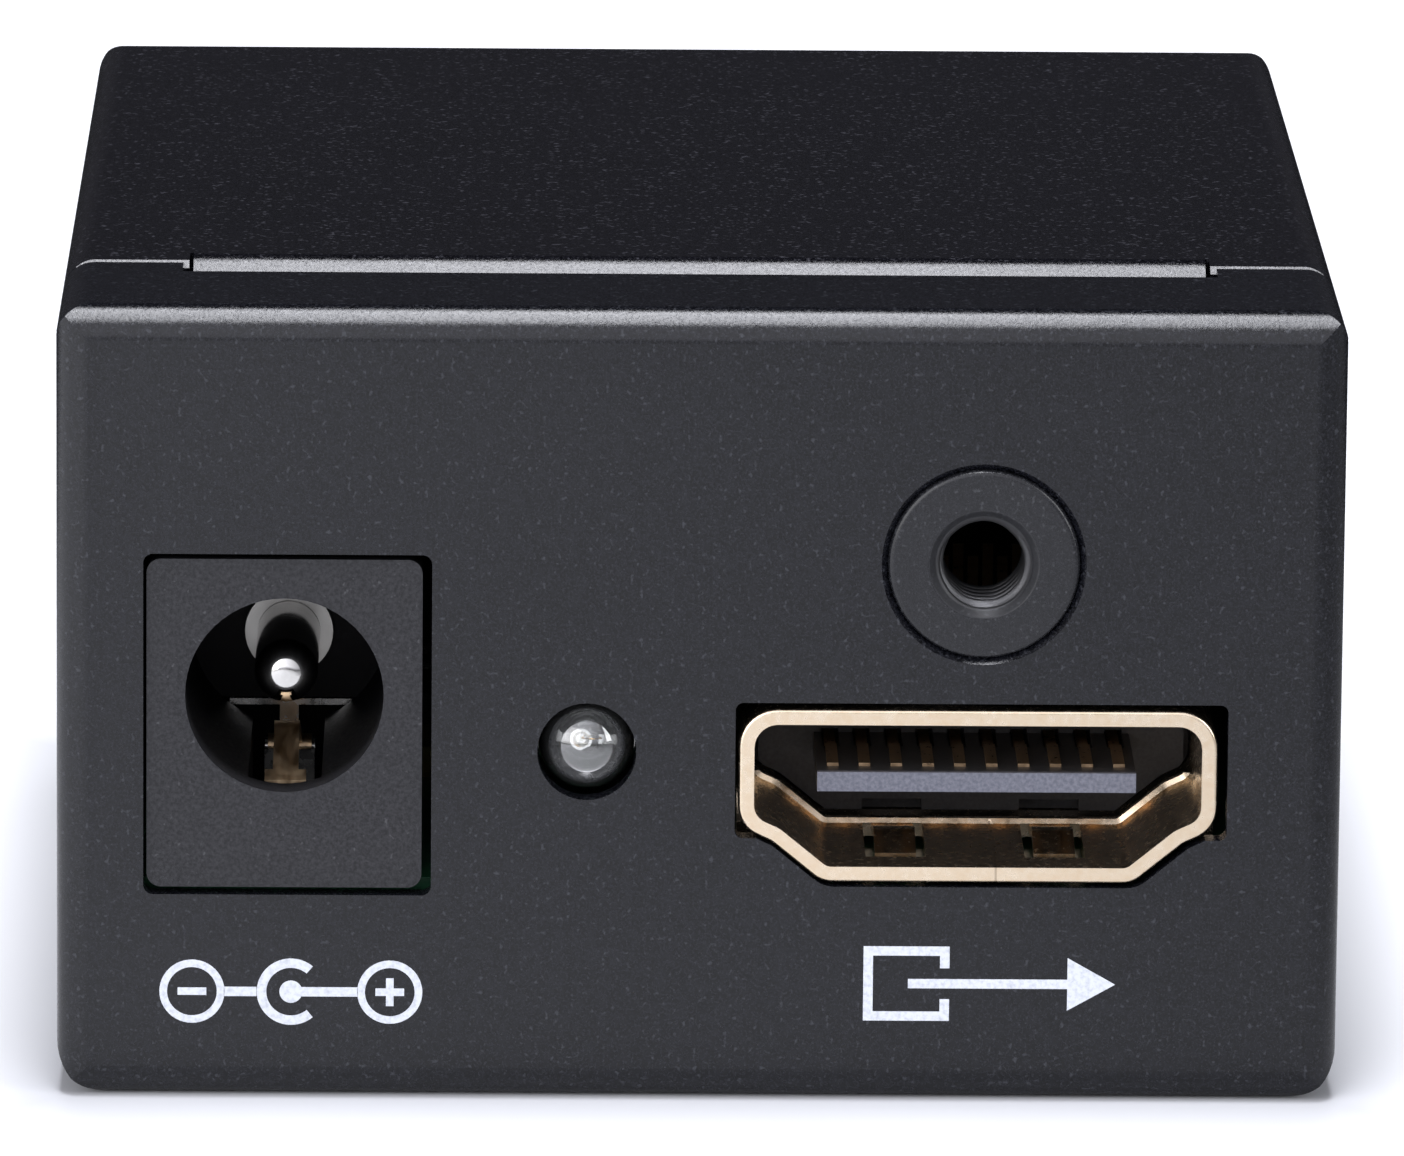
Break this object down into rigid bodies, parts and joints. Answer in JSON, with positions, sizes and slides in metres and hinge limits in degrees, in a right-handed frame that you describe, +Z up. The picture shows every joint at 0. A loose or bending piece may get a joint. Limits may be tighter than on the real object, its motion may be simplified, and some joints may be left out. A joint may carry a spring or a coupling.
{
  "type": "hdmi repeater",
  "caption": "Small folded-steel video signal repeater box with a locking output port, a power jack and a status light in front and an input port behind.",
  "frame": {"origin": "middle of the box's underside", "axes": "+Z up, front panel with the output port faces -Y, +X to the right seen from the front"},
  "size_m": [0.0402, 0.047, 0.0252],
  "materials": {
    "box_coat": "fine-textured satin black powder coat",
    "cover_coat": "fine-textured satin black powder coat",
    "cover_screw_steel": "black-oxide steel",
    "standoff_steel": "zinc-plated",
    "board_screw_steel": "zinc-plated",
    "board_laminate": "green solder mask over glass-epoxy laminate",
    "port_shell_plating": "gold flash over nickel",
    "port_insulator_plastic": "black moulded liquid-crystal polymer",
    "port_contact_plating": "gold-plated phosphor bronze",
    "lock_nut_coat": "powder coated outside, bare thread",
    "jack_plastic": "black moulded plastic",
    "jack_pin_nickel": "nickel-plated brass",
    "jack_spring_brass": "spring brass",
    "jack_terminal_tin": "tin-plated",
    "light_lens_resin": "water-clear epoxy",
    "light_lead_tin": "tin-plated",
    "chip_resin": "moulded epoxy",
    "chip_lead_tin": "tin-plated",
    "fuse_resin": "moulded polymer",
    "diode_resin": "moulded epoxy",
    "can_aluminium": "drawn can",
    "can_base_plastic": "moulded",
    "ceramic_body": "ceramic with tinned ends",
    "resistor_body": "thick-film chip with tinned ends"
  },
  "bodies": {
    "housing": {"lower_chassis": "box_coat", "upper_cover": "cover_coat", "cover_screws": "cover_screw_steel", "board_standoffs": "standoff_steel", "board_screws": "board_screw_steel", "main_board": "board_laminate", "output_hdmi_shell": "port_shell_plating", "input_hdmi_shell": "port_shell_plating", "output_hdmi_insulator": "port_insulator_plastic", "input_hdmi_insulator": "port_insulator_plastic", "output_hdmi_upper_contacts": "port_contact_plating", "output_hdmi_lower_contacts": "port_contact_plating", "input_hdmi_upper_contacts": "port_contact_plating", "input_hdmi_lower_contacts": "port_contact_plating", "output_lock_nut": "lock_nut_coat", "input_lock_nut": "lock_nut_coat", "dc_jack_housing": "jack_plastic", "dc_jack_center_pin": "jack_pin_nickel", "dc_jack_sleeve_terminal": "jack_terminal_tin", "dc_jack_switch_terminal": "jack_terminal_tin", "status_light_lens": "light_lens_resin", "status_light_leads": "light_lead_tin", "equalizer_chip": "chip_resin", "level_shifter_chip": "chip_resin", "voltage_regulator": "chip_resin", "surge_arrays": "chip_resin", "level_shifter_leads": "chip_lead_tin", "voltage_regulator_leads": "chip_lead_tin", "resettable_fuse": "fuse_resin", "polarity_diode": "diode_resin", "bulk_capacitor": "can_aluminium", "bulk_capacitor_base": "can_base_plastic", "chip_capacitors": "ceramic_body", "chip_resistors": "resistor_body"},
    "sleeve_spring": {"dc_jack_sleeve_spring": "jack_spring_brass"}
  },
  "joints": [
    {"name": "sleeve_spring_flex", "type": "hinge", "parent": "housing", "child": "sleeve_spring", "pos_m": [-0.01297, -0.0119, 0.00865], "axis": [1, 0, 0], "range_deg": [0, 7], "stiffness_Nm_per_rad": 0.06}
  ]
}
